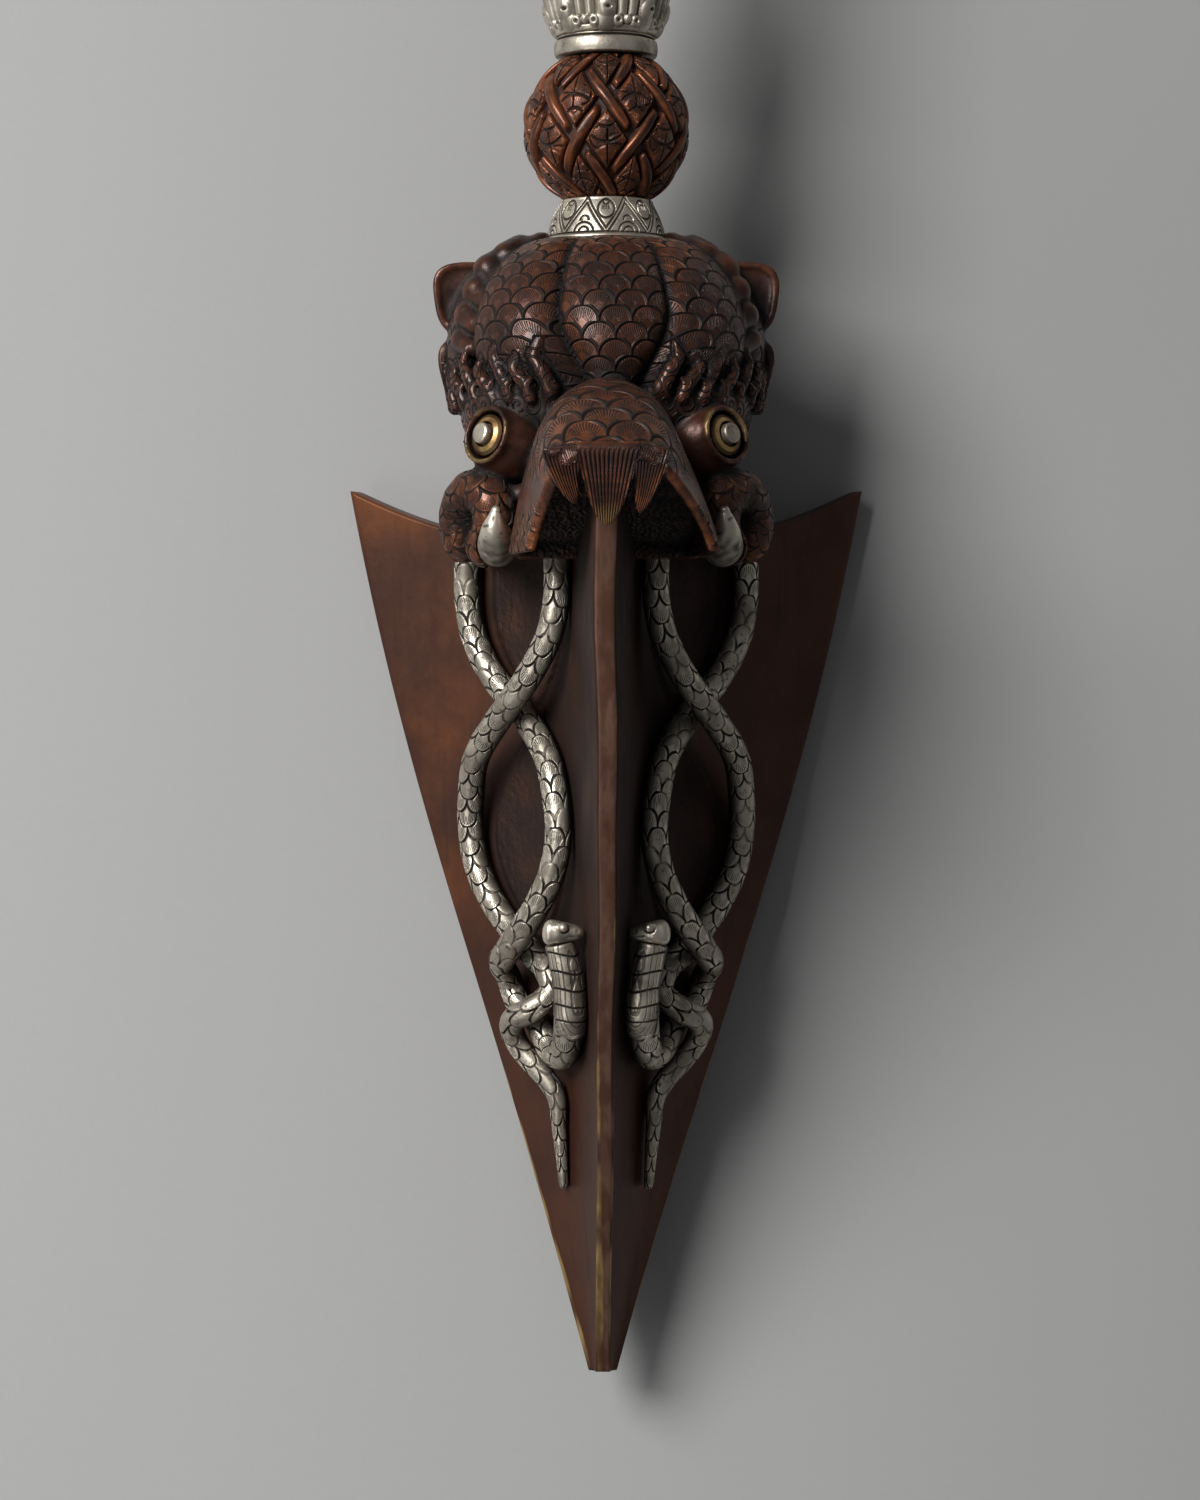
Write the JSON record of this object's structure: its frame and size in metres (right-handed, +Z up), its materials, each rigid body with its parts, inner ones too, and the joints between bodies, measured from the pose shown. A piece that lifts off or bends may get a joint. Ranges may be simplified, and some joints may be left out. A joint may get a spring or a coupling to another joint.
{
  "type": "ritual dagger",
  "caption": "Ritual dagger with a finned blade under a copper sea-monster head, entwined silver serpents down each face and a knotted handle.",
  "frame": {"origin": "centre of the blade's flat tip, on the long axis", "axes": "+Z up the long axis from the tip to the finial, -Y where the monster's snout looks, +X to the right of someone who faces the snout"},
  "size_m": [0.0852, 0.0782, 0.3655],
  "materials": {
    "copper": "dark red-brown patina, worn to orange on the high spots",
    "blade_copper": "smooth brown patina, worn to brass along the edges",
    "silver": "tarnished silver with black in the engraving",
    "brass": "rubbed brass",
    "iron": "plain iron, hidden inside"
  },
  "bodies": {
    "root": {"core_rod": "iron", "blade": "blade_copper", "makara_head": "copper", "left_eyeball": "brass", "right_eyeball": "brass", "left_pupil": "silver", "right_pupil": "silver", "left_tusk": "silver", "right_tusk": "silver", "left_head_serpent": "silver", "left_tail_serpent": "silver", "right_head_serpent": "silver", "right_tail_serpent": "silver", "rear_head_serpent": "silver", "rear_tail_serpent": "silver", "lower_collar": "silver", "lower_knot": "copper", "lower_neck_ring": "silver", "lower_lotus_cup": "silver", "lower_grip": "silver", "grip_band": "copper", "upper_grip": "silver", "upper_lotus_cup": "silver", "upper_neck_ring": "silver", "upper_knot": "copper", "upper_collar": "silver", "finial_base": "silver", "side_prongs": "silver", "centre_prong": "silver"}
  },
  "joints": []
}
